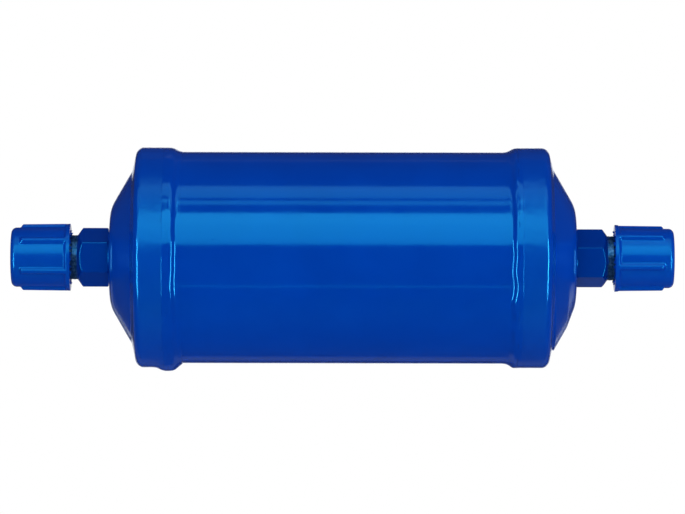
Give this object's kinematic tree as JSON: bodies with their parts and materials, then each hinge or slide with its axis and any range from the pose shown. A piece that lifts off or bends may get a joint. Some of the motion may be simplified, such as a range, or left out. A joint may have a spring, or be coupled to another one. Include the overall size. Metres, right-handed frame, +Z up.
{
  "type": "filter drier",
  "caption": "Hermetic liquid-line filter drier: welded steel shell with drawn end caps, flare fittings under ribbed seal caps, solid core inside.",
  "frame": {"origin": "middle of the shell on its axis, half way between the two seal caps", "axes": "+X along the shell's axis from the inlet fitting to the outlet fitting, +Z up"},
  "size_m": [0.2388, 0.0792, 0.0792],
  "materials": {
    "enamel": "gloss deep blue",
    "cap_plastic": "gloss deep blue",
    "gasket_rubber": "matt",
    "spring_steel": "drawn wire",
    "plate_steel": "zinc plated",
    "desiccant": "rough moulded bead",
    "felt": "wool felt",
    "filter_mat": "polyester mat",
    "screen_steel": "woven wire"
  },
  "bodies": {
    "shell": {"shell_tube": "enamel", "inlet_end_cap": "enamel", "outlet_end_cap": "enamel", "inlet_weld_bead": "enamel", "outlet_weld_bead": "enamel", "inlet_fitting": "enamel", "outlet_fitting": "enamel", "inlet_braze_ring": "enamel", "outlet_braze_ring": "enamel", "core_spring": "spring_steel", "spring_plate": "plate_steel", "desiccant_core": "desiccant", "core_seal_ring": "felt", "filter_pad": "filter_mat", "strainer_screen": "screen_steel", "support_plate": "plate_steel"},
    "inlet_gasket": {"inlet_cap_gasket": "gasket_rubber"},
    "inlet_cap": {"inlet_seal_cap": "cap_plastic"},
    "outlet_gasket": {"outlet_cap_gasket": "gasket_rubber"},
    "outlet_cap": {"outlet_seal_cap": "cap_plastic"}
  },
  "joints": [
    {"name": "inlet_cap_lift", "type": "slide", "parent": "shell", "child": "inlet_gasket", "axis": [-1, 0, 0], "range_m": [0, 0.018]},
    {"name": "inlet_cap_turn", "type": "hinge", "parent": "inlet_gasket", "child": "inlet_cap", "pos_m": [-0.1, 0, 0], "axis": [-1, 0, 0], "range_deg": [0, 4592.13]},
    {"name": "outlet_cap_lift", "type": "slide", "parent": "shell", "child": "outlet_gasket", "axis": [1, 0, 0], "range_m": [0, 0.018]},
    {"name": "outlet_cap_turn", "type": "hinge", "parent": "outlet_gasket", "child": "outlet_cap", "pos_m": [0.1, 0, 0], "axis": [1, 0, 0], "range_deg": [0, 4592.13]}
  ],
  "couplings": [
    {"joint": "inlet_cap_lift", "follows": "inlet_cap_turn", "m_per_rad": 0.00022459},
    {"joint": "outlet_cap_lift", "follows": "outlet_cap_turn", "m_per_rad": 0.00022459}
  ]
}
